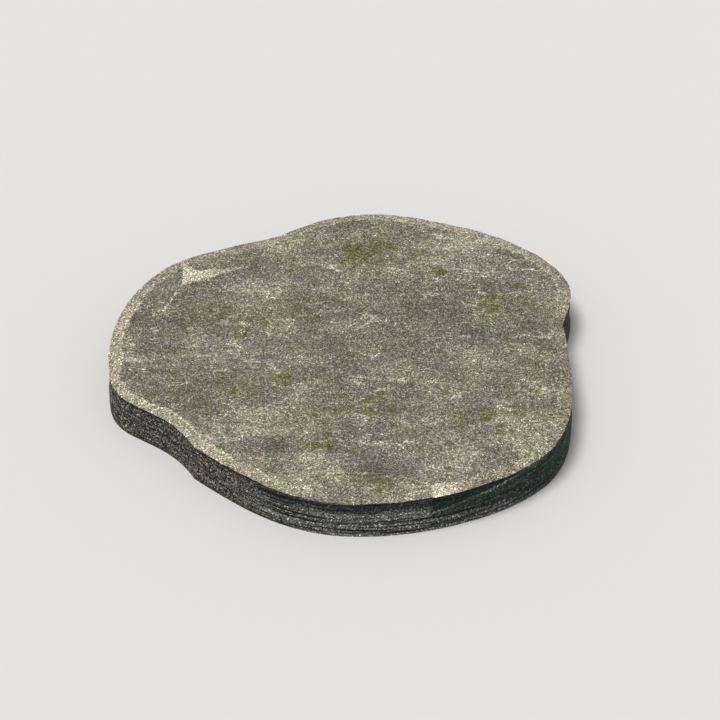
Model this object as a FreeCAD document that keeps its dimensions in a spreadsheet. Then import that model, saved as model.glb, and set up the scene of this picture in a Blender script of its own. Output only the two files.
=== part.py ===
"""Garden stepping stone: one irregular flagstone, split along its bedding, that lies flat on the ground.

Millimetres, +Z up. The origin is under the middle of the stone, on the face that it rests on.
The plan outline is three sides that meet in three bays. Each side is a spline from bay to bay, whose control
points stand at even bearings, and the reach of each one is a size of its own. The same outline is drawn at
each level where the edge of the stone changes, set back by the amount that the edge is weathered there, and
a ruled loft joins the levels: the foot, the beds, the soft seam under the cap, the arris and the worn band
round the top.
"""

import FreeCAD
import Part
import Sketcher
import os

NODE = "stepping_stone"

# The bays of the outline, anticlockwise: name, bearing and reach. +X is bearing 0 and +Y is bearing 90.
BAYS = (
    ("right_bay", 12, 195),
    ("back_bay", 108, 181),
    ("left_bay", 227, 177),
)
FULL_TURN = 360

# The sides, each from the bay of the same place to the next one: name and reach of each control point.
SIDES = (
    ("back_right", (228, 228, 223, 218, 212, 211, 201)),
    ("back_left", (182, 199, 201, 200, 200, 199, 203, 166)),
    ("front", (186, 203, 208, 212, 219, 225, 209, 196)),
)
DEGREE = 3

# Levels of the edge from the ground up: name, height over the level below, and how far it is set back.
LEVELS = (
    ("foot", 0, 1.2),
    ("base", 4, 0.5),
    ("lower", 9, 0.9),
    ("middle", 12, 0.4),
    ("seam", 4, 1.5),
    ("cap", 2.5, 0.5),
    ("arris", 2, 0.2),
    ("tread", 1.5, 12),
)

# The flake lost from the front edge, towards its fourth control point: name, size and what it measures.
SPALL = (
    ("spall_inset", 13, "width of the scar at its blunt end, mm"),
    ("spall_drop", 3, "depth of the scar at the edge of the stone, mm"),
    ("spall_turn", 5, "turn of the scar out towards the edge, from square to its bearing, degrees"),
)


def gaps_of(side):
    """How many gaps there are between the points of one side, from bay to bay."""
    return len(SIDES[side][1]) + 1


def bearing_of(side, point):
    """Expression for the bearing of one point of a side. Point 0 is the bay that the side starts at."""
    following = (side + 1) % len(BAYS)
    start, stop = f"Sizes.{BAYS[side][0]}_bearing", f"Sizes.{BAYS[following][0]}_bearing"
    if following == 0:
        stop = f"{stop} + {FULL_TURN}"
    return f"({start} + ({stop} - {start}) * {point} / {gaps_of(side)})"


def reach_of(side, point):
    """Expression for the reach of one point of a side."""
    if point == 0:
        return f"Sizes.{BAYS[side][0]}_reach"
    if point == gaps_of(side):
        return f"Sizes.{BAYS[(side + 1) % len(BAYS)][0]}_reach"
    return f"Sizes.{SIDES[side][0]}_reach_{point}"


def edge_reach(side, point):
    """Expression for the reach of the outline itself towards a control point well inside a side."""
    step = f"({bearing_of(side, point + 1)} - {bearing_of(side, point)})"
    neighbours = f"({reach_of(side, point - 1)} + {reach_of(side, point + 1)}) * cos({step})"
    return f"({neighbours} + 4 * {reach_of(side, point)}) / 6"


def height_of(index):
    """Expression for the height of one level over the ground."""
    return " + ".join(f"Sizes.{name}_height" for name, _, _ in LEVELS[1 : index + 1]) or "0"


def make_sheet(doc):
    """The driving dimensions, one to a row: name, size, what it measures."""
    rows = []
    for name, bearing, reach in BAYS:
        rows.append((f"{name}_bearing", bearing, f"bearing of the {name}, degrees"))
        rows.append((f"{name}_reach", reach, f"reach of the {name} from the axis, mm"))
    for name, reaches in SIDES:
        for point, reach in enumerate(reaches, start=1):
            rows.append((f"{name}_reach_{point}", reach, f"reach of control point {point}, mm"))
    for name, height, setback in LEVELS:
        if height:
            rows.append((f"{name}_height", height, f"height of the {name} over the level below it, mm"))
        rows.append((f"{name}_setback", setback, f"how far the {name} is set back from the outline, mm"))
    rows.extend(SPALL)
    sheet = doc.addObject("Spreadsheet::Sheet", "Sizes")
    for row, (name, size, note) in enumerate(rows, start=1):
        sheet.set(f"A{row}", name)
        sheet.set(f"B{row}", str(size))
        sheet.setAlias(f"B{row}", name)
        sheet.set(f"C{row}", note)
    doc.recompute()


def new_sketch(body, name):
    """An empty sketch on the ground plane of the body."""
    sketch = body.newObject("Sketcher::SketchObject", name)
    ground = next(item for item in body.Origin.OriginFeatures if item.Role == "XY_Plane")
    sketch.AttachmentSupport = [(ground, "")]
    sketch.MapMode = "FlatFace"
    return sketch


def pin_points(sketch, first, end, places):
    """Ties one point of each geometry, from the first on, to a pair of expressions for its x and y."""
    constraints, expressions = [], []
    for geometry, place in enumerate(places, start=first):
        start = sketch.getPoint(geometry, end)
        constraints.append(Sketcher.Constraint("DistanceX", -1, 1, geometry, end, start.x))
        constraints.append(Sketcher.Constraint("DistanceY", -1, 1, geometry, end, start.y))
        expressions.extend(place)
    for number, expression in zip(sketch.addConstraint(constraints), expressions):
        sketch.setExpression(f"Constraints[{number}]", expression)


def point_place(side, point, setback):
    """Expressions for the x and y of one point of a side, set back."""
    reach, bearing = f"({reach_of(side, point)} - {setback})", bearing_of(side, point)
    return f"{reach} * cos({bearing})", f"{reach} * sin({bearing})"


def draw_outline(body, index):
    """The outline at one level: three splines that meet in the bays, each tied to its control points."""
    name = LEVELS[index][0]
    setback = f"Sizes.{name}_setback"
    sketch = new_sketch(body, f"{name}_outline")
    sketch.setExpression("AttachmentOffset.Base.z", height_of(index))
    curves = []
    for side in range(len(SIDES)):
        places = [point_place(side, point, setback) for point in range(gaps_of(side) + 1)]
        poles = [FreeCAD.Vector(*map(sketch.evalExpression, place)) for place in places]
        spline = Part.BSplineCurve()
        spline.buildFromPoles(poles, False, DEGREE)
        curve = sketch.addGeometry(spline, False)
        sketch.exposeInternalGeometry(curve)
        pin_points(sketch, curve + 1, 3, places[:-1])
        curves.append(curve)
    for curve, following in zip(curves, curves[1:] + curves[:1]):
        sketch.addConstraint(Sketcher.Constraint("Coincident", curve, 2, following, 1))
    return sketch


def add_stone(body):
    """The whole stone: a ruled loft through the outlines from the foot to the tread."""
    outlines = [draw_outline(body, index) for index in range(len(LEVELS))]
    stone = body.newObject("PartDesign::AdditiveLoft", "stone")
    stone.Profile = outlines[0]
    stone.Sections = outlines[1:]
    stone.Ruled = True
    return stone


def add_spall(body, side, point):
    """The flake lost from the edge: a flat scar with its blunt end towards one control point of a side."""
    bearing = bearing_of(side, point)
    inner = f"({edge_reach(side, point)} - Sizes.spall_inset)"
    top = height_of(len(LEVELS) - 1)
    place = f"vector({inner} * cos({bearing}); {inner} * sin({bearing}); {top})"
    turn = f"rotation({bearing} - Sizes.spall_turn; atan(Sizes.spall_drop / Sizes.spall_inset); 0)"
    sketch = new_sketch(body, "spall_outline")
    sketch.setExpression("AttachmentOffset", f"placement({place}; {turn})")
    corners = [FreeCAD.Vector(x, y, 0) for x, y in ((0, 0), (1, 0), (1, 1), (0, 1))]
    for start, stop in zip(corners, corners[1:] + corners[:1]):
        sketch.addGeometry(Part.LineSegment(start, stop), False)
    for i in range(len(corners)):
        sketch.addConstraint(Sketcher.Constraint("Coincident", i, 2, (i + 1) % len(corners), 1))
    past_edge, run_out = "2 * Sizes.spall_inset", "12 * Sizes.spall_inset"
    pin_points(sketch, 0, 1, (("0", "0"), (past_edge, "0"), (past_edge, run_out), ("0", run_out)))
    spall = body.newObject("PartDesign::Pocket", "spall")
    spall.Profile = sketch
    spall.setExpression("Length", "4 * Sizes.spall_drop")
    spall.Reversed = True
    return spall


def check(doc, body, before, after):
    """Stops the build if anything failed, or if the cut took nothing away."""
    for item in doc.Objects:
        if {"Invalid", "Error"} & set(item.State):
            raise RuntimeError(f"{item.Label} failed: {item.State}")
    if not 0 < after.Shape.Volume < before.Shape.Volume:
        raise RuntimeError(f"{after.Label} took nothing away")
    shape = body.Shape
    if shape.isNull() or not shape.isValid() or len(shape.Solids) != 1:
        raise RuntimeError(f"{body.Label} is not one valid solid")


def main():
    doc = FreeCAD.newDocument(NODE)
    make_sheet(doc)
    body = doc.addObject("PartDesign::Body", NODE)
    body.Label = NODE
    stone = add_stone(body)
    spall = add_spall(body, side=2, point=4)
    doc.recompute()
    check(doc, body, stone, spall)
    middle = body.Shape.optimalBoundingBox().Center
    body.Placement = FreeCAD.Placement(FreeCAD.Vector(-middle.x, -middle.y, 0), FreeCAD.Rotation())
    doc.recompute()
    os.makedirs("parts", exist_ok=True)
    body.Shape.exportStep(f"parts/{body.Label}.step")
    box = body.Shape.optimalBoundingBox()
    print(f"{body.Label}: {box.XLength:.1f} x {box.YLength:.1f} x {box.ZLength:.1f} mm")
    print(f"moved by {-middle.x:.2f}, {-middle.y:.2f} mm to stand over the origin")
    print(f"volume {body.Shape.Volume / 1e6:.3f} litres, {len(body.Shape.Faces)} faces")


main()
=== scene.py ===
"""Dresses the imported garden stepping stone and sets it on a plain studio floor.

The mesh is worked out by rays that meet the CAD solid, and adds what is too fine for it: the riving of the
tread, the broken beds of the edge, nicks, scars and hairlines. One material gives the grains, stains, lichen
and wear. Places on the stone are in mm from the frame's origin, and bearings in degrees from +X towards +Y.
The mesh and the properties are in metres.
"""

import math
import random
from bisect import bisect
from collections import namedtuple
from functools import partial

import bpy
from bpy.props import FloatProperty, FloatVectorProperty, PointerProperty
from mathutils import Matrix, Vector, kdtree, noise
from mathutils.bvhtree import BVHTree
from mathutils.geometry import delaunay_2d_cdt


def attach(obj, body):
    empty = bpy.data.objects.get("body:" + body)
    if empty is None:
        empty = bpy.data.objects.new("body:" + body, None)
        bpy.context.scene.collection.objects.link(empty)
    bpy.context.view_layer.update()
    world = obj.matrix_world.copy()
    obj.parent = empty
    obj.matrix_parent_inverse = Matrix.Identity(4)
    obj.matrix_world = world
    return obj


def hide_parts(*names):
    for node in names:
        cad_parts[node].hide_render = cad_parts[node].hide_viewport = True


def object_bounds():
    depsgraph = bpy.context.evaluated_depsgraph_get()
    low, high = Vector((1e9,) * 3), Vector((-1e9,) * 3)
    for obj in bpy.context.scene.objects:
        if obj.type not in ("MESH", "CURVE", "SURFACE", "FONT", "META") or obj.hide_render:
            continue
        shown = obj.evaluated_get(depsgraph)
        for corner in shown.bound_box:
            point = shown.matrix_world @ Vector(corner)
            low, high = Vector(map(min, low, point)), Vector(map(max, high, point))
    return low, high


bl_info = {
    "name": "Garden Stepping Stone",
    "version": (1, 0, 0),
    "blender": (4, 5, 0),
    "location": "3D View > Sidebar > Stepping Stone",
    "description": "Builds the weathered flagstone over its CAD solid, and a plain stage for it",
    "category": "Object",
}

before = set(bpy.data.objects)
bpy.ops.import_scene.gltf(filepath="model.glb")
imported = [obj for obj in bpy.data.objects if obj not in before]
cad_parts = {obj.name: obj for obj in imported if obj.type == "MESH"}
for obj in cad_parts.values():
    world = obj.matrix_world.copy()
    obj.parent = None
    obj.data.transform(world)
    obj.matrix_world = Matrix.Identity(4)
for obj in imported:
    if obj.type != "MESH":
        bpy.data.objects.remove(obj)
CAD_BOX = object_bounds()
NODE = "stepping_stone"
MM = 0.001
THICKNESS = CAD_BOX[1].z - CAD_BOX[0].z

# Stains on the tread: x, y and reach in mm, and how much paler or darker than the stone they are.
STAINS = (
    (118, 51, 52, -0.25),
    (68, 69, 30, -0.2),
    (-120, 51, 46, -0.25),
    (-118, -56, 26, -0.3),
    (25, -173, 24, -0.4),
    (-5, -53, 22, -0.5),
    (-50, -135, 22, -0.5),
    (-31, 58, 22, -0.3),
    (34, -70, 14, -0.5),
    (23, 145, 28, -0.3),
    (32, -121, 14, -0.3),
    (149, -112, 24, 0.7),
    (100, -156, 24, 0.5),
    (-24, -161, 26, 0.5),
    (-72, 88, 20, 0.5),
    (122, -20, 22, 0.4),
    (-62, -96, 22, 0.35),
    (-112, 4, 24, 0.35),
    (-52, 159, 18, 0.5),
    (120, 164, 30, 0.6),
)

# Lichen on the tread: x, y and reach in mm.
LICHEN = (
    (20, 137, 22),
    (6, 155, 12),
    (56, 135, 10),
    (88, 117, 9),
    (-78, -45, 18),
    (35, -70, 10),
    (149, 99, 7),
    (126, 71, 9),
    (-90, 25, 10),
    (-43, -38, 14),
    (-12, -121, 9),
    (26, -171, 9),
    (38, -191, 10),
    (128, -89, 11),
    (18, -86, 7),
    (98, -96, 9),
    (-72, 81, 8),
    (96, -162, 8),
)

# The split lamina near the back left edge, in mm: its front and the back of its pale scar, as x and y.
LAMINA_FRONT = (
    (-140, 93),
    (-133, 97),
    (-125, 101),
    (-118, 104),
    (-110, 108),
    (-102, 113),
    (-92, 118),
    (-70, 129),
)
LAMINA_BACK = (
    (-140, 127),
    (-133, 121),
    (-128, 115),
    (-121, 116),
    (-114, 117),
    (-106, 117),
    (-98, 120),
    (-70, 126),
)
LAMINA_LEFT = -140  # x of its blunt end
LAMINA_LIP = 0.8  # half the width of the step at its front
LAMINA_END = (-105, -60)  # x where it starts to thin, and where it is level with the tread
LAMINA_DEPTH = (25, 50)  # the same behind its front
LAMINA_FADE = (-125, -95)  # x between which its scar gets more weathered
LAMINA_WEATHERED = 0.55  # how weathered it gets
RAMP_MIDDLE, RAMP_HALF = 112, 17  # the ramp at its blunt end: y of its middle, and half its length
RAMP_WIDTH, RAMP_LEAST = 16, 1  # width of the ramp in its middle and at its ends

# The scar at the front edge, in mm: its inner line as x and y, and how far its blunt end slants for each mm
# towards the edge.
SPALL_INNER = ((72, -183), (78, -180), (93, -178), (101, -176), (113, -171), (121, -168), (150, -160))
SPALL_SLANT = 0.23
SPALL_FADE = (76, 118)  # x where it starts to weather, and where it no longer shows

# Hairlines on the tread, as lines of x and y in mm.
HAIRLINES = (
    ((-142, 90), (-146, 79), (-150, 68), (-154, 60), (-154, 53)),
    ((-75, -157), (-67, -163), (-59, -173), (-56, -176)),
    ((-13, -150), (-10, -152), (-7, -155)),
    ((181, -58), (181, -74), (182, -80)),
)
HAIRLINE_SIDE = 0.4  # half the width of the slope at each side of a hairline, mm

# How far the rim is worn, at bearings in degrees.
RIM_WEAR = (
    (0, 0.3),
    (30, 0.6),
    (55, 0.9),
    (85, 0.75),
    (110, 0.55),
    (140, 0.65),
    (165, 0.95),
    (215, 1.0),
    (250, 0.85),
    (275, 0.3),
    (300, 0.45),
    (330, 0.35),
    (360, 0.3),
)

# Stretches of the edge, as bearings in degrees.
SEAM_BEARING = 290.5  # where the damp, greenish stretch starts
SEAM_SIDE = 0.2  # half the width of the seam there
DAMP_END = 60.0  # where the damp stretch has faded out
DAMP_WHOLE = 0.8  # share of that stretch that is wholly damp
WORN_START = (115, 160)  # where wear to an even, speckled grey starts, and where it is whole
WORN_END = (236, 258)  # where that lessens again, and where it ends

# Relief as layers of noise. Each is its size in mm, its share or its height in mm, its seed, and how many
# times flatter than wide it is.
SWELLS = ((120, 1.0, 1.7, 1), (52, 0.5, 4.2, 1))
SPLITS = ((46, 2.2, 8.3, 1),)  # how many laminae the tread steps through
LEDGES = ((14, 0.5, 2.9, 1),)  # how ragged those steps are
PITS = ((6.5, 1.0, 5.5, 1), (3.4, 0.6, 9.1, 1))
LIP_WANDER = ((6, 0.8, 3.1, 1),)
BROKEN_BEDS = ((24, 0.8, 3.3, 2.6), (15, 0.7, 1.1, 7), (4, 0.35, 2.2, 1))
BED_WANDER = ((45, 0.9, 5.1, 1),)
BED_SHIFT = ((20, 0.8, 4.4, 1),)
GROOVE_GAPS = ((60, 0.45, 9.9, 8),)
NICKS = ((8.5, 1.0, 6.4, 1),)
UNDER_HOLLOWS = ((30, 0.5, 2.4, 1),)
STAIN_RAGGED_X = ((26, 14, 3.7, 1), (9, 7, 6.1, 1))
STAIN_RAGGED_Y = ((26, 14, 8.9, 1), (9, 7, 1.3, 1))

RIVEN_RUN = (0.82, 0.57)  # direction in plan that the laminae of the tread split along
RIVEN_STRETCH = 1.8  # how many times longer than wide they are
LEDGE_SLOPE = (0.35, 0.65)  # shares of a lamina between which it steps to the next one
NICK_START = 0.3  # how strong the noise is where a nick starts
NICK_SIDE, NICK_DROP = 0.6, 6  # how deep a nick is in the edge, as a share, and how far down it reaches, mm
BEDDING = ((3.6, 0.5), (12.6, 0.8), (20.5, 0.35), (25.5, 0.6), (31.2, 0.7))  # height and depth of grooves, mm
GROOVE_HALF, GROOVE_OPEN = 0.8, 0.55  # half the width of a groove in mm, and how open it mostly is
FLARE_HEIGHT, STEADY_FOOT, STEADY_BEDS = 14, 3, 6  # heights in mm up to which the foot flares or stays even
UNDER_LIFT = 0.1  # how far the underside stands over the floor inside its foot, mm

# How the mesh is laid out.
EDGE_SAMPLES = 1440  # rays that measure the edge
RAY_INSIDE = 0.15 * MM  # how far inside the solid's borders rays are aimed
BROW = 0.85  # share of the thickness at which the reach of the arris is measured
SCATTER = 0.22  # how far points stray from an even spread, in pitches
TREAD_MARGIN, UNDER_MARGIN = 0.7, 0.6  # how far they stay from the edge, in pitches
TREAD_SEED, UNDER_SEED = 11, 5
TRIANGLES_INSIDE, MERGE_GAP = 1, 1e-7  # what the triangulation keeps, and points that it takes as one

# What the mesh tells the material at each point: distance from the arris in mm, wear of the rim, depth
# inside a scar in mm and how fresh it is, stain, lichen, the damp and worn parts of the edge, and degrees
# past the seam.
NO_SCAR = -20.0  # far outside any scar
Facts = namedtuple(
    "Facts", "inset wear scar fresh tone grown damp worn past", defaults=(0, 0, NO_SCAR, 0, 0, 0, 0, 0, 0)
)

# Bounds in a noise between which a pattern comes in. Noise lies round 0.5, and mostly from 0.3 to 0.7.
MOST_NOISE = (0.3, 0.7)
STAIN_STOPS = (0.28, 0.5, 0.72)  # dark, middle and pale stone
VEIN_FIELD = (0.42, 0.62)
VEIN_REACH = (-0.012, 0.036)  # how far from a vein's middle it reaches at those bounds, in noise
VEIN_SIDE = (-0.008, 0.014)  # its soft side
BLUE_BED = (0.5, 0.66)
LICHEN_FILM = (0.48, 0.75)
LICHEN_CRUST = (0.4, 0.6)  # dark and pale crust
LAYER_GAP = (0.43, 0.49)

# Lichen spots, in shares of their spacing.
SPOT_SIZES = (0.58, 1.1, 0.0, 0.48)  # draws of the least spot and of a large one, and their reach
SPOT_RAGGED = 0.5  # how far their borders stray
SPOT_SIDE = (-0.08, 0.16)  # their soft side
GROWN_FILM, GROWN_SPOTS = 0.16, 0.7  # how much more film and spots there are in the patches of lichen

# The worn rim and the scars, in mm.
RIM_WAVES = 4.0  # how far the inner side of the rim waves
RIM_SIDE = (12.5, 8.5)  # insets between which the rim comes in
RIM_LINE = 9.5  # inset of the pale line there
RIM_LINE_SIDE = (0.5, 1.1)  # its soft side
RIM_BARE = (0.85, 1.5, 0.1, 1.0)  # wear and blotches between which the rim goes from hardly pale to bare
CHIPS = 1.0  # how far the border of a scar strays
SCAR_SIDE = (-0.35, 0.35)  # its soft side

# How patterns are drawn out, as scales of x, y and z.
LONG_STAINS, STAIN_TURN = (0.5, 1, 1), -32  # twice as long along X, and then a turn of the noise, degrees
LONG_LAYERS = (0.028, 0.028, 1)  # about 36 times as wide as thick

# Grains and specks.
EACH_CHANNEL = (1, 1, 1)
GRAIN_CONTRAST = 3.0  # how much brighter a grain gets for each unit of its pattern
COARSE_SHARE = 0.14  # share of the coarser grains in the pattern
GRAIN_MIDDLE = 1.88  # value of the pattern that keeps the stone's own colour
SCAR_CALM = 0.3  # how much of lichen's evenness a scar has
GRAIN_OCHRE, GRAIN_BLUE = (1.02, 1.0, 0.9, 1), (0.98, 1.0, 1.06, 1)
STONE_PINK, STONE_GREEN = (1.07, 0.96, 1.03, 1), (0.93, 1.03, 0.97, 1)
SPECK_CHANCE = (0.57, 0.6)  # draws between which a speck comes in
SPECK_SHADES = (1.25, 0.08)  # between the specks, and in them
SPECK_BROW_SHADE = (0.8, 0.97, 0.0, 0.35)  # heights between which specks get more likely, and by how much: painted shade just under the arris
SPECK_BEDDED = 0.45  # how strong the specks are where the edge isn't worn
GRAIN_ROUGHNESS = (0.72, 0.95)  # of dark and of bright grains

# Beds in the edge, from 0 at the foot to 1 at the arris: height and colour.
BEDS = (
    (0.0, "edge_pale"),
    (0.085, "edge_pale"),
    (0.1, "edge_dark"),
    (0.12, "edge_mid"),
    (0.3, "edge_pale"),
    (0.335, "edge_dark"),
    (0.36, "edge_mid"),
    (0.42, "edge_pale"),
    (0.58, "edge_pale"),
    (0.66, "edge_mid"),
    (0.74, "edge_dark"),
    (0.86, "edge_dark"),
    (0.92, "edge_mid"),
    (1.0, "edge_mid"),
)
DAMP_BEDS = (
    (0.0, "damp_mid"),
    (0.44, "damp_mid"),
    (0.49, "damp_pale"),
    (0.52, "damp_pale"),
    (0.56, "damp_dark"),
    (1.0, "damp_dark"),
)
BED_CLIMB = 0.0153  # how far the damp beds climb for each degree past the seam
GREY_FOOT = (0.0, 45.0, -0.3, 0.1)  # degrees past the seam as the foot's grey runs out, and its lift then
FOOT_SIDE = (0.0, 0.12, 0.25, 1.0)  # lifted levels, and how damp the edge is at them
LAYER_SHADES = (0.08, 0.6, 1.16)  # in open layers, in layers that wear or damp has closed, and between them
DAMP_CLOSED = 0.5  # how far damp closes them

# Places of the colour sockets on a Mix node, whose names its number sockets share.
MIX_A, MIX_B, MIX_OUT = 6, 7, 2
COLOUR_MIX = {"output": MIX_OUT, "data_type": "RGBA"}


def to_linear(hex_colour):
    """A colour written as sRGB hex, in the linear values that Blender's colour sockets hold."""
    values = [int(hex_colour[i : i + 2], 16) / 255 for i in (1, 3, 5)]
    return tuple(v / 12.92 if v <= 0.04045 else ((v + 0.055) / 1.055) ** 2.4 for v in values)


def length(name, description, millimetres):
    """A length property, with its default in millimetres."""
    return FloatProperty(
        name=name, description=description, default=millimetres * MM, min=0, unit="LENGTH", precision=5
    )


def colour(name, description, hex_colour):
    """A colour property, with its default as sRGB hex."""
    return FloatVectorProperty(
        name=name, description=description, default=to_linear(hex_colour), subtype="COLOR", min=0, max=1
    )


def amount(name, description, value):
    """A property for strength or cover, where 1 is full."""
    return FloatProperty(
        name=name, description=description, default=value, min=0, soft_max=2, subtype="FACTOR"
    )


def angle(name, description, degrees):
    """An angle property, with its default in degrees."""
    return FloatProperty(name=name, description=description, default=math.radians(degrees), subtype="ANGLE")


class StoneShape(bpy.types.PropertyGroup):
    """Sizes of the relief that is too fine for the CAD solid."""

    tread_pitch: length("Tread pitch", "Distance between mesh points on the tread", 1.7)
    edge_pitch: length("Edge pitch", "Distance between mesh columns round the edge", 1.7)
    row_pitch: length("Row pitch", "Distance between mesh rows up the edge", 1.0)
    under_pitch: length("Underside pitch", "Distance between mesh points on the underside", 6)
    crease_pitch: length("Crease pitch", "Distance between mesh points along cracks and scars", 0.9)
    swell: length("Swell", "Height of the broad hollows and swells of the tread", 0.6)
    riving: length("Riving", "Height of one split lamina on the tread", 0.35)
    pitting: length("Pitting", "Depth of the small pits of the tread", 0.22)
    foot_flare: length("Foot flare", "How far the foot of the edge stands out", 1.6)
    bed_roughness: length("Bed roughness", "Depth of the broken beds in the edge", 0.6)
    nick_depth: length("Nick depth", "Depth of the largest nicks along the arris", 1.2)
    nick_reach: length("Nick reach", "How far in from the arris the nicks reach", 3.5)
    lamina: length("Lamina", "Height of the split lamina near the back left edge", 1.2)
    scratch_width: length("Scratch width", "Width of the hairlines on the tread", 1.2)
    scratch_depth: length("Scratch depth", "Depth of the hairlines on the tread", 0.3)


class StoneLooks(bpy.types.PropertyGroup):
    """Colours and patterns of the stone and of what grows on it."""

    tread: colour("Tread", "Weathered face of the stone", "#837D70")
    tread_dark: colour("Damp tread", "Stained parts of the tread", "#635C51")
    tread_pale: colour("Dry tread", "Bleached parts of the tread", "#ABA493")
    blue_grey: colour("Blue grey", "Bluish bed that shows in patches of the tread", "#787371")
    rim: colour("Rim", "Worn rim of the tread", "#ADA491")
    scar: colour("Scar", "Freshly broken stone", "#D2C9B4")
    lichen: colour("Lichen", "Olive lichen", "#4F5329")
    lichen_pale: colour("Pale lichen", "Yellowish parts of the lichen", "#757240")
    edge_dark: colour("Dark bed", "Dark beds in the edge", "#373D39")
    edge_mid: colour("Grey bed", "Grey beds in the edge", "#5A5D54")
    edge_pale: colour("Pale bed", "Pale beds in the edge", "#787B6F")
    edge_worn: colour("Worn edge", "Worn, speckled part of the edge", "#635F57")
    damp_dark: colour("Damp dark bed", "Dark beds in the damp part of the edge", "#1D2B27")
    damp_mid: colour("Damp bed", "Greenish beds in the damp part of the edge", "#303E38")
    damp_pale: colour("Damp pale bed", "Pale beds in the damp part of the edge", "#5B675E")

    grain_size: length("Grain", "Width of a grain, coarser than real sand so that it shows", 0.85)
    coarse_size: length("Coarse grain", "Width of the coarser grains among them", 2.2)
    speck_size: length("Speck", "Width of the black specks in the edge", 1.05)
    grit_size: length("Grit", "Width of the grit that stands out from the surface", 1.6)
    grit_height: length("Grit height", "How far the grit stands out", 0.5)
    patch_size: length("Patch", "Width of the stained patches of the tread", 24)
    vein_size: length("Vein", "Distance between the pale lines where laminae broke", 13)
    vein_field: length("Vein field", "Width of the places that have such lines", 34)
    blue_size: length("Blue patch", "Width of the bluish patches of the tread", 40)
    tint_size: length("Tint", "Width of the pinkish and greenish patches of the tread", 26)
    film_size: length("Lichen film", "Width of the patches of thin lichen", 45)
    crust_size: length("Lichen crust", "Width of the lumps of the lichen", 5)
    spot_size: length("Lichen spot", "Distance between the spots of lichen", 11)
    rub_size: length("Rub", "Width of the waves in the inner side of the rim", 14)
    blotch_size: length("Blotch", "Width of the patches in which the rim is worn", 38)
    chip_size: length("Chip", "Width of the chips along a scar", 3.5)
    layer_size: length("Layer", "Thickness of the finest layers in the edge", 1.5)
    bed_size: length("Bed wave", "Distance over which the beds in the edge wander", 40)
    bed_lift: length("Bed lift", "How far the beds in the edge wander", 6)

    grain_tread: amount("Grain strength", "Strength of the grains on bare stone", 1.16)
    grain_lichen: amount("Grain in lichen", "Strength of the grains under lichen", 0.95)
    grain_edge: amount("Grain in edge", "Strength that the grains gain in the edge", 0.35)
    stain_cover: amount("Stains", "Strength of the stains on the tread", 0.32)
    vein_cover: amount("Veins", "Strength of the pale lines on the tread", 0.5)
    blue_cover: amount("Blue patches", "Strength of the bluish patches", 0.35)
    film_cover: amount("Film cover", "Cover of the thin lichen", 0.42)
    lichen_cover: amount("Spot cover", "Cover of the lichen spots", 0.76)
    line_cover: amount("Rim line", "Strength of the pale line inside the rim", 0.6)
    scar_cover: amount("Scars", "Strength of the scars' own colour", 0.9)


class StageLooks(bpy.types.PropertyGroup):
    """The studio round the stone."""

    floor: colour("Floor", "Colour of the floor", "#E4E2DE")
    floor_reach: length("Floor reach", "From the middle of the floor to its sides", 6000)
    key: FloatProperty(name="Key light", description="Strength of the main light", default=1.9, min=0)
    key_angle: angle("Key softness", "Angle that the main light covers", 24)
    key_run: FloatVectorProperty(
        name="Key direction",
        description="Way that the main light shines",
        default=(0.3, 0.12, -1.0),
        subtype="XYZ",
    )
    ambient: FloatProperty(
        name="Ambient", description="Strength of the light from all round", default=0.42, min=0
    )
    lens: FloatProperty(
        name="Lens", description="Focal length of the camera", default=180, min=1, unit="CAMERA"
    )
    distance: length("Distance", "From the camera to the point it looks at", 3055)
    elevation: angle("Elevation", "Camera's angle above the floor", 37)
    aim: FloatVectorProperty(
        name="Aim",
        description="Point that the camera looks at",
        default=(0.0153, -0.0136, 0.035),
        subtype="TRANSLATION",
    )


def smooth(low, high, value):
    """Rises softly from 0 at low to 1 at high."""
    t = min(max((value - low) / (high - low), 0), 1)
    return t * t * (3 - 2 * t)


def layered(x, y, z, layers):
    """Noise at a place in mm, as the sum of its layers."""
    total = 0.0
    for size, height, seed, flatness in layers:
        place = Vector((x / size + seed, y / size - seed, flatness * z / size + 2 * seed))
        total += height * noise.noise(place)
    return total


def line_distance(x, y, line):
    """Distance in plan from a place to a line of points."""
    point = Vector((x, y))
    nearest = math.inf
    for start, stop in zip(map(Vector, line), map(Vector, line[1:])):
        run = stop - start
        share = min(max((point - start).dot(run) / run.length_squared, 0), 1)
        nearest = min(nearest, (point - start - share * run).length)
    return nearest


def level_at(line, x):
    """The y of a line of points at one x, straight between the points and level past its ends."""
    for (x0, y0), (x1, y1) in zip(line, line[1:]):
        if x <= x1:
            return y0 + (y1 - y0) * max((x - x0) / (x1 - x0), 0)
    return line[-1][1]


def bearing_of(x, y):
    """Bearing of a place, in degrees from 0 to 360."""
    return math.degrees(math.atan2(y, x)) % 360


def damp_at(bearing):
    """How damp the edge is, from a sharp seam to past the right bay, and the degrees past the seam."""
    past = (bearing - SEAM_BEARING + 180) % 360 - 180
    end = (DAMP_END - SEAM_BEARING) % 360
    damp = smooth(-SEAM_SIDE, SEAM_SIDE, past) * (1 - smooth(DAMP_WHOLE * end, end, past))
    return damp, max(past, 0)


def worn_at(bearing):
    """How evenly worn the edge is."""
    return smooth(*WORN_START, bearing) * (1 - smooth(*WORN_END, bearing))


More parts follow.
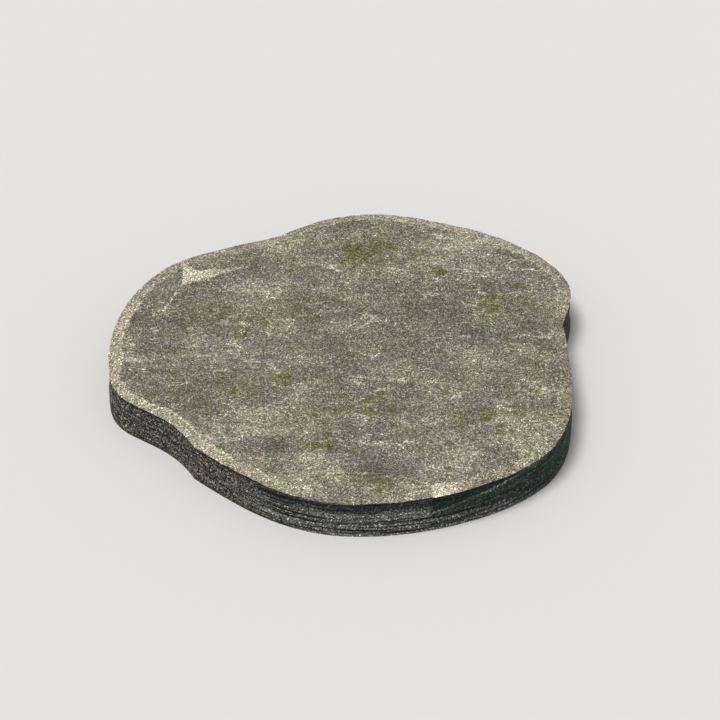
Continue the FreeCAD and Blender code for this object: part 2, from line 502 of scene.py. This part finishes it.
class StoneSolid:
    """The CAD solid, asked by rays for the places on its surface."""

    def __init__(self, node):
        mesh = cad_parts[node].data
        points = [vertex.co.copy() for vertex in mesh.vertices]
        self.tree = BVHTree.FromPolygons(points, [polygon.vertices[:] for polygon in mesh.polygons])

    def cast(self, start, direction):
        """The first place on the solid from a start in a direction."""
        place = self.tree.ray_cast(start, direction)[0]
        if place is None:
            raise RuntimeError(f"no stone found from {tuple(start)} towards {tuple(direction)}")
        return place

    def wall(self, bearing, height):
        """The place on the edge at one bearing, in radians, and height."""
        direction = Vector((math.cos(bearing), math.sin(bearing), 0))
        return self.cast(Vector((0, 0, height)), direction)

    def tread(self, x, y):
        """The place on the tread over one point of the plan."""
        return self.cast(Vector((x, y, 2 * THICKNESS)), Vector((0, 0, -1)))


def edge_bearings(solid, pitch):
    """Bearings, in radians, that divide the edge of the stone into even lengths."""
    turns = [math.tau * i / EDGE_SAMPLES for i in range(EDGE_SAMPLES + 1)]
    places = [solid.wall(turn, THICKNESS / 2) for turn in turns]
    run = [0.0]
    for place, following in zip(places, places[1:]):
        run.append(run[-1] + (following - place).length)
    count = round(run[-1] / pitch)
    bearings = []
    for i in range(count):
        goal = run[-1] * i / count
        k = bisect(run, goal) - 1
        share = (goal - run[k]) / (run[k + 1] - run[k])
        bearings.append(turns[k] + share * (turns[k + 1] - turns[k]))
    return bearings


def edge_rings(solid, bearings, row_pitch):
    """Rings of points up the edge, from the foot to the arris."""
    rows = round(THICKNESS / row_pitch)
    columns = []
    for bearing in bearings:
        reach = solid.wall(bearing, BROW * THICKNESS).to_2d().length - RAY_INSIDE
        arris = solid.tread(reach * math.cos(bearing), reach * math.sin(bearing)).z
        column = []
        for row in range(rows + 1):
            height = arris * row / rows
            place = solid.wall(bearing, min(max(height, RAY_INSIDE), arris - RAY_INSIDE))
            column.append(Vector((place.x, place.y, height)))
        columns.append(column)
    return [list(ring) for ring in zip(*columns)]


def plan_points(ring, pitch, margin, seed):
    """Scattered points over the plan inside a ring, about one pitch apart."""
    dice = random.Random(seed)
    turns = [math.atan2(p.y, p.x) % math.tau for p in ring]
    order = sorted(range(len(ring)), key=turns.__getitem__)
    turns = [turns[i] for i in order]
    reaches = [ring[i].to_2d().length for i in order]
    row_step = pitch * math.sqrt(3) / 2
    rows = int(max(reaches) / row_step) + 1
    points = []
    for row in range(-rows, rows + 1):
        for column in range(-rows - 1, rows + 2):
            x = (column + 0.5 * (row % 2) + dice.uniform(-SCATTER, SCATTER)) * pitch
            y = row * row_step + dice.uniform(-SCATTER, SCATTER) * pitch
            k = bisect(turns, math.atan2(y, x) % math.tau) % len(turns)
            if math.hypot(x, y) < min(reaches[k], reaches[k - 1]) - margin * pitch:
                points.append(Vector((x, y, 0)))
    return points


def fill(ring, points):
    """Triangles over the plan inside a ring, as places in the list of ring and then points."""
    flat = [p.to_2d() for p in ring + points]
    loop = [(i, (i + 1) % len(ring)) for i in range(len(ring))]
    _, _, faces, origins, _, _ = delaunay_2d_cdt(flat, loop, [], TRIANGLES_INSIDE, MERGE_GAP)
    return [tuple(origins[i][0] for i in face) for face in faces]


def crease_points(pitch):
    """Points on both sides of each crack and scar line, so that the mesh has an edge along it."""
    blunt_end = ((LAMINA_LEFT, LAMINA_FRONT[0][1]), (LAMINA_LEFT, LAMINA_BACK[0][1]))
    points = []
    for line in (*HAIRLINES, LAMINA_FRONT, LAMINA_BACK, blunt_end, SPALL_INNER):
        for start, stop in zip(map(Vector, line), map(Vector, line[1:])):
            run = (stop - start) * MM
            side = run.orthogonal().normalized() * pitch / 2
            count = max(round(run.length / pitch), 1)
            for i in range(count):
                middle = start * MM + run * i / count
                points += [(middle + side).to_3d(), (middle - side).to_3d()]
    return points


def finder(places):
    """A tree that finds the nearest of some places."""
    tree = kdtree.KDTree(len(places))
    for i, place in enumerate(places):
        tree.insert(place, i)
    tree.balance()
    return tree


def clear_of(points, others, gap):
    """The points that keep a gap to all the others, whose finder is given."""
    return [point for point in points if others.find(point)[2] > gap]


def lamina_at(x, y):
    """Height of the split lamina from 0 to 1, depth inside its pale scar in mm, and how fresh that is."""
    behind = y - level_at(LAMINA_FRONT, x) + layered(x, y, 0, LIP_WANDER)
    past = x - LAMINA_LEFT
    ramp = max(RAMP_WIDTH * (1 - abs(y - RAMP_MIDDLE) / RAMP_HALF), RAMP_LEAST)
    risen = min(max(past / ramp, 0), 1)
    left = (1 - smooth(*LAMINA_END, x)) * (1 - smooth(*LAMINA_DEPTH, behind))
    height = risen * smooth(-LAMINA_LIP, LAMINA_LIP, behind) * left
    scar = min(past, behind, level_at(LAMINA_BACK, x) - y)
    return height, scar, 1 - LAMINA_WEATHERED * smooth(*LAMINA_FADE, x)


def spall_at(x, y):
    """How deep a place lies in the scar at the front edge, in mm, and how fresh the scar is there."""
    first_x, first_y = SPALL_INNER[0]
    past = x - first_x - SPALL_SLANT * (first_y - y)
    return min(past, level_at(SPALL_INNER, x) - y), 1 - smooth(*SPALL_FADE, x)


def nick_at(x, y):
    """How deep the arris is nicked at a place in mm, from 0 to 1."""
    return max(layered(x, y, 0, NICKS) - NICK_START, 0) / (1 - NICK_START)


def tread_relief(shape, x, y, inset):
    """Rise of the tread over the CAD solid, depth inside a scar in mm and its freshness, at a place in mm."""
    run_x, run_y = RIVEN_RUN
    along, across = run_x * x + run_y * y, run_x * y - run_y * x
    split = layered(along / RIVEN_STRETCH, across, 0, SPLITS) + layered(x, y, 0, LEDGES)
    step = math.floor(split) + smooth(*LEDGE_SLOPE, split - math.floor(split))
    height, scar, fresh = lamina_at(x, y)
    rise = shape.swell * layered(x, y, 0, SWELLS) + shape.riving * step
    rise += shape.pitting * layered(x, y, 0, PITS) + shape.lamina * height
    spall, spall_fresh = spall_at(x, y)
    if spall > scar:
        scar, fresh = spall, spall_fresh
    for line in HAIRLINES:
        inside = shape.scratch_width / 2 / MM - line_distance(x, y, line)
        rise -= shape.scratch_depth * smooth(-HAIRLINE_SIDE, HAIRLINE_SIDE, inside)
        if inside > scar:
            scar, fresh = inside, 1.0
    rise -= shape.nick_depth * nick_at(x, y) * (1 - smooth(0, shape.nick_reach / MM, inset))
    return rise, scar, fresh


def edge_relief(shape, x, y, z):
    """How far the edge stands out from the CAD solid, at a place in mm."""
    out = shape.bed_roughness * layered(x, y, z, BROKEN_BEDS)
    wander = layered(x, y, 0, BED_WANDER)
    for height, depth in BEDDING:
        open_here = GROOVE_OPEN + layered(x, y, height, GROOVE_GAPS)
        out -= depth * MM * open_here * math.exp(-(((z - height - wander) / GROOVE_HALF) ** 2))
    top = THICKNESS / MM
    return out - NICK_SIDE * shape.nick_depth * nick_at(x, y) * smooth(top - NICK_DROP, top, z)


def stains_at(x, y):
    """How much paler or darker the tread is, and how much lichen grows, at a place in mm."""
    stray_x = x + layered(x, y, 0, STAIN_RAGGED_X)
    stray_y = y + layered(x, y, 0, STAIN_RAGGED_Y)

    def near(spot_x, spot_y, reach):
        return math.exp(-((stray_x - spot_x) ** 2 + (stray_y - spot_y) ** 2) / reach**2)

    tone = sum(depth * near(*spot) for *spot, depth in STAINS)
    return tone, max(near(*spot) for spot in LICHEN)


def edge_points(shape, rings):
    """Points of the weathered edge, ring by ring, and the facts at each."""
    points, facts = [], []
    for row, ring in enumerate(rings):
        for i, place in enumerate(ring):
            x, y, z = place / MM
            tangent = (ring[(i + 1) % len(ring)] - ring[i - 1]).to_2d()
            outward = Vector((tangent.y, -tangent.x, 0)).normalized()
            flare = shape.foot_flare * (1 - smooth(0, FLARE_HEIGHT, z))
            moved = place + outward * (edge_relief(shape, x, y, z) * smooth(0, STEADY_FOOT, z) + flare)
            bearing = bearing_of(x, y)
            damp, past = damp_at(bearing)
            told = Facts(wear=level_at(RIM_WEAR, bearing), damp=damp, worn=worn_at(bearing), past=past)
            if row == len(rings) - 1:
                rise, scar, fresh = tread_relief(shape, x, y, 0)
                tone, grown = stains_at(x, y)
                moved.z += rise
                told = told._replace(scar=scar, fresh=fresh, tone=tone, grown=grown)
            elif row > 0:
                steady = smooth(0, STEADY_BEDS, z) * (1 - place.z / THICKNESS)
                moved.z += MM * layered(x, y, z, BED_SHIFT) * steady
            points.append(moved)
            facts.append(told)
    return points, facts


def tread_plan(shape, near_arris, arris):
    """Points over the plan of the tread: scattered, and closer together along the cracks and scars."""
    creases = clear_of(crease_points(shape.crease_pitch), near_arris, shape.tread_pitch)
    creases = [point for point in creases if point.length < near_arris.find(point)[0].length]
    points = plan_points(arris, shape.tread_pitch, TREAD_MARGIN, TREAD_SEED)
    return clear_of(points, finder(creases), shape.crease_pitch) + creases


def tread_points(shape, solid, near_arris, plan):
    """Points of the weathered tread over those of its plan, and the facts at each."""
    points, facts = [], []
    for flat in plan:
        x, y = flat.x / MM, flat.y / MM
        inset = near_arris.find(flat)[2] / MM
        rise, scar, fresh = tread_relief(shape, x, y, inset)
        tone, grown = stains_at(x, y)
        points.append(solid.tread(flat.x, flat.y) + Vector((0, 0, rise)))
        wear = level_at(RIM_WEAR, bearing_of(x, y))
        facts.append(Facts(inset=inset, wear=wear, scar=scar, fresh=fresh, tone=tone, grown=grown))
    return points, facts


def under_points(shape, foot):
    """Points of the underside, a split bed that is a little hollow inside its foot."""
    points = plan_points(foot, shape.under_pitch, UNDER_MARGIN, UNDER_SEED)
    for point in points:
        point.z = (UNDER_LIFT + abs(layered(point.x / MM, point.y / MM, 0, UNDER_HOLLOWS))) * MM
    return points


def edge_faces(rows, around):
    """Faces between the rings of the edge, as places in the list of its points."""
    faces = []
    for row in range(rows - 1):
        low, high = row * around, (row + 1) * around
        for i in range(around):
            j = (i + 1) % around
            faces.append((low + i, low + j, high + j, high + i))
    return faces


def build_mesh(shape):
    """The weathered stone as one closed mesh, with the facts that its material needs."""
    solid = StoneSolid(NODE)
    rings = edge_rings(solid, edge_bearings(solid, shape.edge_pitch), shape.row_pitch)
    foot, arris, around = rings[0], rings[-1], len(rings[0])
    near_arris = finder([place.to_2d().to_3d() for place in arris])
    plan = tread_plan(shape, near_arris, arris)
    under = under_points(shape, foot)
    edge, edge_facts = edge_points(shape, rings)
    top, top_facts = tread_points(shape, solid, near_arris, plan)
    facts = edge_facts + top_facts + [Facts(worn=1)] * len(under)

    first_arris, first_top, first_under = len(edge) - around, len(edge), len(edge) + len(top)
    faces = edge_faces(len(rings), around)
    for face in fill(foot, under):
        faces.append(tuple(i if i < around else first_under + i - around for i in reversed(face)))
    side_count = len(faces)
    for face in fill(arris, plan):
        faces.append(tuple(first_arris + i if i < around else first_top + i - around for i in face))

    mesh = bpy.data.meshes.new("riven_flagstone")
    mesh.from_pydata(edge + top + under, [], faces)
    if mesh.validate():
        raise RuntimeError("the stone's mesh had faults")
    for name, values in zip(Facts._fields, zip(*facts)):
        mesh.attributes.new(name, "FLOAT", "POINT").data.foreach_set("value", values)
    sides = [1.0] * side_count + [0.0] * (len(faces) - side_count)
    mesh.attributes.new("edge", "FLOAT", "FACE").data.foreach_set("value", sides)
    mesh.shade_smooth()
    for line in mesh.edges:
        line.use_edge_sharp = all(first_arris <= i < first_top for i in line.vertices)
    return mesh


def add_node(tree, kind, inputs=(), output=0, stops=(), **settings):
    """Adds a shader node and gives one of its outputs.

    Inputs are values or links, in the node's own order or by name or place. Stops are those of a colour ramp,
    from its low end to its high end.
    """
    node = tree.nodes.new(f"ShaderNode{kind}")
    for name, value in settings.items():
        setattr(node, name, value)
    pairs = inputs.items() if isinstance(inputs, dict) else enumerate(inputs)
    for key, value in pairs:
        if isinstance(value, bpy.types.NodeSocket):
            tree.links.new(value, node.inputs[key])
        else:
            node.inputs[key].default_value = value
    if stops:
        elements = node.color_ramp.elements
        for position, _ in stops[1:-1]:
            elements.new(position)
        for element, (position, shade) in zip(elements, stops):
            element.position, element.color = position, (*shade, 1)
    return node.outputs[output] if node.outputs else None


def node_adder(owner):
    """Clears the nodes of a material or the world, and gives the function that adds one to them."""
    owner.use_nodes = True
    owner.node_tree.nodes.clear()
    return partial(add_node, owner.node_tree)


def sand_grains(add, place, fact, looks, level, calm):
    """Sand grains: a colour to multiply the stone with, grain by grain, and the brightness of each grain."""
    fine = add("TexVoronoi", {"Vector": place, "Scale": 1 / looks.grain_size}, "Color")
    coarse = add("TexVoronoi", {"Vector": place, "Scale": 1 / looks.coarse_size}, "Color")
    each = add("VectorMath", (fine, EACH_CHANNEL), "Value", operation="DOT_PRODUCT")
    lump = add("VectorMath", (coarse, EACH_CHANNEL), "Value", operation="DOT_PRODUCT")
    both = add("Math", (lump, COARSE_SHARE, each), operation="MULTIPLY_ADD")
    centred = add("Math", (both, GRAIN_MIDDLE), operation="SUBTRACT")
    settled = add("MapRange", (calm, 0, 1, looks.grain_tread, looks.grain_lichen))
    strength = add("Math", (fact["edge"], looks.grain_edge, settled), operation="MULTIPLY_ADD")
    spread = add("Math", (centred, strength), operation="MULTIPLY")
    sparkle = add("Math", (GRAIN_CONTRAST, spread), operation="POWER")

    # Black specks in the edge, blackest where it is worn, and more of them just under the arris as painted
    # shade, a dark band under it.
    pick = add("TexVoronoi", {"Vector": place, "Scale": 1 / looks.speck_size}, "Color")
    chance = add("SeparateColor", (pick,), "Red")
    # Painted shade: specks get more likely towards the arris, which darkens a band just under it.
    brow_shade = add("MapRange", (level, *SPECK_BROW_SHADE))
    likely = add("Math", (chance, brow_shade), operation="ADD")
    speck = add("MapRange", (likely, *SPECK_CHANCE, *SPECK_SHADES))
    bare = add("MapRange", (fact["worn"], 0, 1, SPECK_BEDDED, 1))
    part = add("Math", (fact["edge"], bare), operation="MULTIPLY")
    speckle = add("Mix", {"Factor": part, "A": 1, "B": speck})
    shade = add("Math", (sparkle, speckle), operation="MULTIPLY")

    # Some grains are ochre and some are bluish.
    hue = add("SeparateColor", (coarse,), "Green")
    tint = add("Mix", {0: hue, MIX_A: GRAIN_OCHRE, MIX_B: GRAIN_BLUE}, **COLOUR_MIX)
    return add("VectorMath", {0: tint, "Scale": shade}, operation="SCALE"), each


def riven_face(add, place, stretched, fact, looks):
    """The tread's own stone: stained in long patches, veined, and bluish, pinkish or greenish in places."""
    patches = add(
        "TexNoise", {"Vector": stretched, "Scale": 1 / looks.patch_size, "Detail": 7, "Roughness": 0.74}
    )
    toned = add("Math", (fact["tone"], looks.stain_cover, patches), operation="MULTIPLY_ADD")
    shades = (looks.tread_dark, looks.tread, looks.tread_pale)
    stained = add("ValToRGB", (toned,), stops=list(zip(STAIN_STOPS, shades)))

    # Fine pale lines where the laminae broke, only in places.
    torn = add("TexNoise", {"Vector": stretched, "Scale": 1 / looks.vein_size, "Detail": 4})
    off = add("Math", (torn, 0.5), operation="SUBTRACT")
    apart = add("Math", (off,), operation="ABSOLUTE")
    field = add("TexNoise", {"Vector": place, "Scale": 1 / looks.vein_field, "Detail": 5})
    reach = add("MapRange", (field, *VEIN_FIELD, *VEIN_REACH), clamp=False)
    within = add("Math", (reach, apart), operation="SUBTRACT")
    vein = add("MapRange", (within, *VEIN_SIDE, 0, looks.vein_cover))
    veined = add("Mix", {0: vein, MIX_A: stained, MIX_B: (*looks.scar, 1)}, **COLOUR_MIX)

    # A bluish bed shows in places, and the stone itself is pinkish in some and greenish in others.
    bed = add("TexNoise", {"Vector": place, "Scale": 1 / looks.blue_size, "Detail": 6})
    blue = add("MapRange", (bed, *BLUE_BED, 0, looks.blue_cover))
    face = add("Mix", {0: blue, MIX_A: veined, MIX_B: (*looks.blue_grey, 1)}, **COLOUR_MIX)
    hue = add("TexNoise", {"Vector": place, "Scale": 1 / looks.tint_size, "Detail": 5})
    tint = add("Mix", {0: hue, MIX_A: STONE_PINK, MIX_B: STONE_GREEN}, **COLOUR_MIX)
    return add("VectorMath", (face, tint), operation="MULTIPLY")


def lichen_over(add, place, stretched, fact, looks, stone):
    """Lichen over the stone: a thin film, then small spots and larger crusts, and the cover of these two."""
    film = add(
        "TexNoise", {"Vector": stretched, "Scale": 1 / looks.film_size, "Detail": 7, "Roughness": 0.72}
    )
    thick = add("Math", (fact["grown"], GROWN_FILM, film), operation="MULTIPLY_ADD")
    thin = add("MapRange", (thick, *LICHEN_FILM, 0, looks.film_cover))
    filmed = add("Mix", {0: thin, MIX_A: stone, MIX_B: (*looks.lichen_pale, 1)}, **COLOUR_MIX)

    crust = add("TexNoise", {"Vector": place, "Scale": 1 / looks.crust_size, "Detail": 4, "Roughness": 0.6})
    ragged = add("MapRange", (crust, 0, 1, -SPOT_RAGGED, SPOT_RAGGED))
    away = add("TexVoronoi", {"Vector": place, "Scale": 1 / looks.spot_size}, "Distance")
    size = add("SeparateColor", (away.node.outputs["Color"],), "Red")
    sown = add("Math", (fact["grown"], GROWN_SPOTS, size), operation="MULTIPLY_ADD")
    reach = add("MapRange", (sown, *SPOT_SIZES), clamp=False)
    inside = add("Math", (reach, away), operation="SUBTRACT")
    broken = add("Math", (inside, ragged), operation="ADD")
    cover = add("MapRange", (broken, *SPOT_SIDE, 0, looks.lichen_cover))
    shades = (looks.lichen, looks.lichen_pale)
    lichen = add("ValToRGB", (crust,), stops=list(zip(LICHEN_CRUST, shades)))
    return add("Mix", {0: cover, MIX_A: filmed, MIX_B: lichen}, **COLOUR_MIX), cover


def bare_stone(add, place, fact, looks, weathered):
    """The tread with its rim rubbed pale and its scars broken fresh, and how much of it is scar."""
    rub = add("TexNoise", {"Vector": place, "Scale": 1 / looks.rub_size, "Detail": 5, "Roughness": 0.65})
    uneven = add("MapRange", (rub, *MOST_NOISE, -RIM_WAVES, RIM_WAVES), clamp=False)
    reached = add("Math", (fact["inset"], uneven), operation="ADD")
    band = add("MapRange", (reached, *RIM_SIDE, 0, 1))
    blotch = add("TexNoise", {"Vector": place, "Scale": 1 / looks.blotch_size, "Detail": 4})
    worn = add("Math", (fact["wear"], blotch), operation="ADD")
    bare = add("MapRange", (worn, *RIM_BARE))
    pale = add("Math", (band, bare), operation="MULTIPLY")
    rim = add("Mix", {0: pale, MIX_A: weathered, MIX_B: (*looks.rim, 1)}, **COLOUR_MIX)

    # Its inner side is a thin paler line, where the worn band meets the riven face.
    off = add("Math", (reached, RIM_LINE), operation="SUBTRACT")
    apart = add("Math", (off,), operation="ABSOLUTE")
    thin = add("MapRange", (apart, *RIM_LINE_SIDE, looks.line_cover, 0))
    line = add("Math", (thin, bare), operation="MULTIPLY")
    lined = add("Mix", {0: line, MIX_A: rim, MIX_B: (*looks.scar, 1)}, **COLOUR_MIX)

    # Scars, with chipped borders.
    chip = add("TexNoise", {"Vector": place, "Scale": 1 / looks.chip_size, "Detail": 4, "Roughness": 0.6})
    border = add("MapRange", (chip, *MOST_NOISE, -CHIPS, CHIPS), clamp=False)
    depth = add("Math", (fact["scar"], border), operation="ADD")
    within = add("MapRange", (depth, *SCAR_SIDE, 0, looks.scar_cover))
    scar = add("Math", (within, fact["fresh"]), operation="MULTIPLY")
    return add("Mix", {0: scar, MIX_A: lined, MIX_B: (*looks.scar, 1)}, **COLOUR_MIX), scar


def bed_level(add, place, looks):
    """Height in the edge from 0 at the foot to 1 at the arris, along beds that wander a little."""
    height = add("SeparateXYZ", (place,), "Z")
    wander = add("TexNoise", {"Vector": place, "Scale": 1 / looks.bed_size, "Detail": 4})
    lifted = add("Math", (wander, looks.bed_lift, height), operation="MULTIPLY_ADD")
    foot = looks.bed_lift / 2
    return add("MapRange", (lifted, foot, foot + THICKNESS, 0, 1))


def edge_colour(add, fact, looks, layers, level):
    """The edge: beds as bands, worn even on the left, and damp and greenish on the right."""
    beds = add("ValToRGB", (level,), stops=[(height, getattr(looks, bed)) for height, bed in BEDS])
    worn = add("Mix", {0: fact["worn"], MIX_A: beds, MIX_B: (*looks.edge_worn, 1)}, **COLOUR_MIX)

    # Past the seam the beds climb, and only the foot keeps its grey for a while.
    climb = add("Math", (fact["past"], -BED_CLIMB, level), operation="MULTIPLY_ADD")
    damp_stops = [(height, getattr(looks, bed)) for height, bed in DAMP_BEDS]
    damp_beds = add("ValToRGB", (climb,), stops=damp_stops)
    soaked = add("MapRange", (fact["past"], *GREY_FOOT))
    above = add("Math", (level, soaked), operation="ADD")
    foot = add("MapRange", (above, *FOOT_SIDE))
    part = add("Math", (foot, fact["damp"]), operation="MULTIPLY")
    damp = add("Mix", {0: part, MIX_A: worn, MIX_B: damp_beds}, **COLOUR_MIX)

    # Thin dark lines where the layers have opened, fewest where the edge is worn or damp.
    open_shade, closed_shade, between = LAYER_SHADES
    whole = add("Math", (fact["damp"], DAMP_CLOSED, fact["worn"]), operation="MULTIPLY_ADD")
    closed = add("MapRange", (whole, 0, 1, open_shade, closed_shade))
    shade = add("MapRange", (layers, *LAYER_GAP, closed, between))
    return add("VectorMath", {0: damp, "Scale": shade}, operation="SCALE")


def flagstone_material(looks):
    """Riven sandstone, split by hand and left outdoors.

    Its grains give a fine sparkle of pale and dark points, its face is stained in soft patches, its rim and
    scars are pale because they are rubbed or broken, and its edge shows the beds as dark and pale bands.
    The grains are drawn about 1 mm wide, coarser than real sand, because finer ones wouldn't show.
    """
    material = bpy.data.materials.new("riven_sandstone")
    add = node_adder(material)

    place = add("TexCoord", output="Object")
    turn = (0, 0, math.radians(STAIN_TURN))
    stretched = add("Mapping", {"Vector": place, "Rotation": turn, "Scale": LONG_STAINS})
    bedded = add("Mapping", {"Vector": place, "Scale": LONG_LAYERS})
    fact = {}
    for name in (*Facts._fields, "edge"):
        fact[name] = add("Attribute", output="Fac", attribute_name=name)

    layers = add("TexNoise", {"Vector": bedded, "Scale": 1 / looks.layer_size, "Detail": 3, "Roughness": 0.6})
    level = bed_level(add, place, looks)
    face = riven_face(add, place, stretched, fact, looks)
    weathered, cover = lichen_over(add, place, stretched, fact, looks, face)
    tread, scar = bare_stone(add, place, fact, looks, weathered)
    edge = edge_colour(add, fact, looks, layers, level)
    stone = add("Mix", {0: fact["edge"], MIX_A: tread, MIX_B: edge}, **COLOUR_MIX)
    calm = add("Math", (scar, SCAR_CALM, cover), operation="MULTIPLY_ADD")
    grains, each = sand_grains(add, place, fact, looks, level, calm)
    speckled = add("VectorMath", (stone, grains), operation="MULTIPLY")

    # Surface: matt, with the grit and the layers standing out.
    grit = add("TexNoise", {"Vector": place, "Scale": 1 / looks.grit_size, "Detail": 3})
    tooth = add("Math", (layers, fact["edge"], grit), operation="MULTIPLY_ADD")
    bump = add("Bump", {"Strength": 0.5, "Distance": looks.grit_height, "Height": tooth})
    roughness = add("MapRange", (each, 0, len(EACH_CHANNEL), *GRAIN_ROUGHNESS))
    surface = {"Base Color": speckled, "Roughness": roughness, "Specular IOR Level": 0.2, "Normal": bump}
    shader = add("BsdfPrincipled", surface)
    add("OutputMaterial", {"Surface": shader})
    return material


def floor_material(shade):
    """Matt studio paper: an even pale sheet that shows nothing but the stone's shadow."""
    material = bpy.data.materials.new("studio_paper")
    add = node_adder(material)
    shader = add("BsdfPrincipled", {"Base Color": (*shade, 1), "Roughness": 0.9})
    add("OutputMaterial", {"Surface": shader})
    return material


def add_floor(scene, looks):
    """The floor that the stone lies on."""
    paper = bpy.data.meshes.new("floor")
    reach = looks.floor_reach
    corners = [(-reach, -reach, 0), (reach, -reach, 0), (reach, reach, 0), (-reach, reach, 0)]
    paper.from_pydata(corners, [], [(0, 1, 2, 3)])
    paper.materials.append(floor_material(looks.floor))
    floor = bpy.data.objects.new("floor", paper)
    scene.collection.objects.link(floor)


def add_key(scene, looks):
    """The main light, broad and soft, from over the left."""
    sun = bpy.data.lights.new("key", "SUN")
    sun.energy, sun.angle = looks.key, looks.key_angle
    key = bpy.data.objects.new("key", sun)
    key.rotation_mode = "QUATERNION"
    key.rotation_quaternion = Vector(looks.key_run).to_track_quat("-Z", "Y")
    scene.collection.objects.link(key)


def light_world(scene, looks):
    """Soft light from all round, which shows as plain white where it is seen or reflected."""
    scene.world = scene.world or bpy.data.worlds.new("studio")
    add = node_adder(scene.world)
    direct = add("LightPath", output="Is Camera Ray")
    path = direct.node.outputs
    mirrored = add("Math", (path["Is Glossy Ray"], path["Is Transmission Ray"]), operation="MAXIMUM")
    seen = add("Math", (direct, mirrored), operation="MAXIMUM")
    soft = add("Background", {"Color": (1, 1, 1, 1), "Strength": looks.ambient})
    white = add("Background", {"Color": (1, 1, 1, 1), "Strength": 1.0})
    mixed = add("MixShader", (seen, soft, white))
    add("OutputWorld", {"Surface": mixed})


def add_camera(scene, looks):
    """The camera, square to the stone's front and looking down at it."""
    camera = bpy.data.objects.new("camera", bpy.data.cameras.new("camera"))
    camera.data.lens = looks.lens
    forward = Vector((0, math.cos(looks.elevation), -math.sin(looks.elevation)))
    turn = forward.to_track_quat("-Z", "Y").to_matrix().to_4x4()
    camera.matrix_world = Matrix.Translation(Vector(looks.aim) - forward * looks.distance) @ turn
    scene.collection.objects.link(camera)
    scene.camera = camera


class STONE_OT_build(bpy.types.Operator):
    """Build the weathered stone over its CAD solid"""

    bl_idname = "stepping_stone.build"
    bl_label = "Build stone"

    def execute(self, context):
        mesh = build_mesh(context.scene.stone_shape)
        mesh.materials.append(flagstone_material(context.scene.stone_looks))
        stone = bpy.data.objects.new("riven_flagstone", mesh)
        context.scene.collection.objects.link(stone)
        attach(stone, "root")
        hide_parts(NODE)
        return {"FINISHED"}


class STONE_OT_stage(bpy.types.Operator):
    """Set up the floor, the light and the camera"""

    bl_idname = "stepping_stone.stage"
    bl_label = "Set up stage"

    def execute(self, context):
        for step in (add_floor, add_key, light_world, add_camera):
            step(context.scene, context.scene.stage_looks)
        context.scene.view_settings.view_transform = "Standard"
        return {"FINISHED"}


class STONE_PT_panel(bpy.types.Panel):
    """Stepping stone tools in the sidebar"""

    bl_label = "Stepping Stone"
    bl_space_type = "VIEW_3D"
    bl_region_type = "UI"
    bl_category = "Stepping Stone"

    def draw(self, context):
        for group in (context.scene.stone_shape, context.scene.stone_looks, context.scene.stage_looks):
            box = self.layout.box()
            for name in group.__annotations__:
                box.prop(group, name)
        self.layout.operator(STONE_OT_build.bl_idname)
        self.layout.operator(STONE_OT_stage.bl_idname)


CLASSES = (StoneShape, StoneLooks, StageLooks, STONE_OT_build, STONE_OT_stage, STONE_PT_panel)


def register():
    for cls in CLASSES:
        bpy.utils.register_class(cls)
    bpy.types.Scene.stone_shape = PointerProperty(type=StoneShape)
    bpy.types.Scene.stone_looks = PointerProperty(type=StoneLooks)
    bpy.types.Scene.stage_looks = PointerProperty(type=StageLooks)


def unregister():
    del bpy.types.Scene.stage_looks
    del bpy.types.Scene.stone_looks
    del bpy.types.Scene.stone_shape
    for cls in reversed(CLASSES):
        bpy.utils.unregister_class(cls)


def main():
    register()
    bpy.ops.stepping_stone.build()
    bpy.ops.stepping_stone.stage()


if __name__ == "__main__":
    main()
